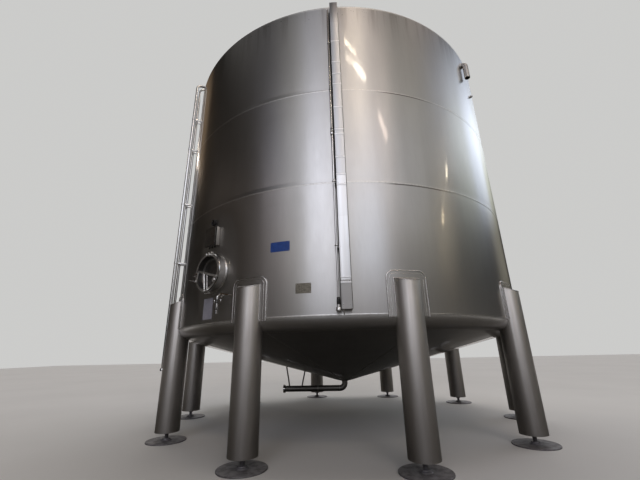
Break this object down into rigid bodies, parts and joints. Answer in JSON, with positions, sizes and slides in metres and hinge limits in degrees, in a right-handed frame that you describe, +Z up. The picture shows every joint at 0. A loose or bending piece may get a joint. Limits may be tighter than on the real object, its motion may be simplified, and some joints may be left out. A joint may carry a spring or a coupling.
{
  "type": "vertical storage tank",
  "caption": "Round stainless steel storage tank with cone ends, standing on pipe legs with screwed feet, with a side manway, risers and a cable duct.",
  "frame": {"origin": "on the tank axis at floor level, under the middle of the ring of feet", "axes": "+Z up along the tank axis, -Y towards the front, where the cable duct is"},
  "size_m": [6.4778, 6.2994, 6.8288],
  "materials": {
    "brushed_stainless": "brushed along the sheet, with soft vertical streaks and bright weld lines",
    "satin_stainless": "satin, as drawn pipe and folded sheet",
    "polished_stainless": "polished",
    "dark_steel": "dull dark grey, as worn foot plates and a shaded lid",
    "blue_enamel": "glossy blue, bare of text",
    "brass_plate": "dull etched metal, bare of text",
    "label_paper": "matt paper in a clear sleeve, bare of text",
    "dark_paint": "dark grey, slightly glossy"
  },
  "bodies": {
    "tank": {"shell_lower_1": "brushed_stainless", "shell_lower_2": "brushed_stainless", "shell_lower_3": "brushed_stainless", "shell_lower_4": "brushed_stainless", "shell_lower_5": "brushed_stainless", "shell_middle": "brushed_stainless", "shell_upper": "brushed_stainless", "bottom_knuckle": "brushed_stainless", "bottom_cone": "brushed_stainless", "roof": "brushed_stainless", "overflow_spout": "brushed_stainless", "roof_hatch": "satin_stainless", "leg_1": "satin_stainless", "foot_1": "dark_steel", "leg_2": "satin_stainless", "foot_2": "dark_steel", "leg_3": "satin_stainless", "foot_3": "dark_steel", "leg_4": "satin_stainless", "foot_4": "dark_steel", "leg_5": "satin_stainless", "foot_5": "dark_steel", "leg_6": "satin_stainless", "foot_6": "dark_steel", "leg_7": "satin_stainless", "foot_7": "dark_steel", "leg_8": "satin_stainless", "foot_8": "dark_steel", "leg_9": "satin_stainless", "foot_9": "dark_steel", "leg_10": "satin_stainless", "foot_10": "dark_steel", "manway_neck": "polished_stainless", "cable_duct": "satin_stainless", "level_tube": "polished_stainless", "riser_large": "polished_stainless", "riser_small": "polished_stainless", "instrument_box": "satin_stainless", "sight_port": "dark_paint", "sample_valve": "polished_stainless", "id_tag": "blue_enamel", "name_plate": "brass_plate", "paper_label": "label_paper", "outlet_pipe": "satin_stainless"},
    "door": {"manway_door": "dark_steel", "manway_clamp": "polished_stainless", "manway_crossbar": "polished_stainless"}
  },
  "joints": [
    {"name": "manway_hinge", "type": "hinge", "parent": "tank", "child": "door", "pos_m": [-1.93922, -2.41501, 2.138], "axis": [0, 0, -1], "range_deg": [0, 110]}
  ]
}
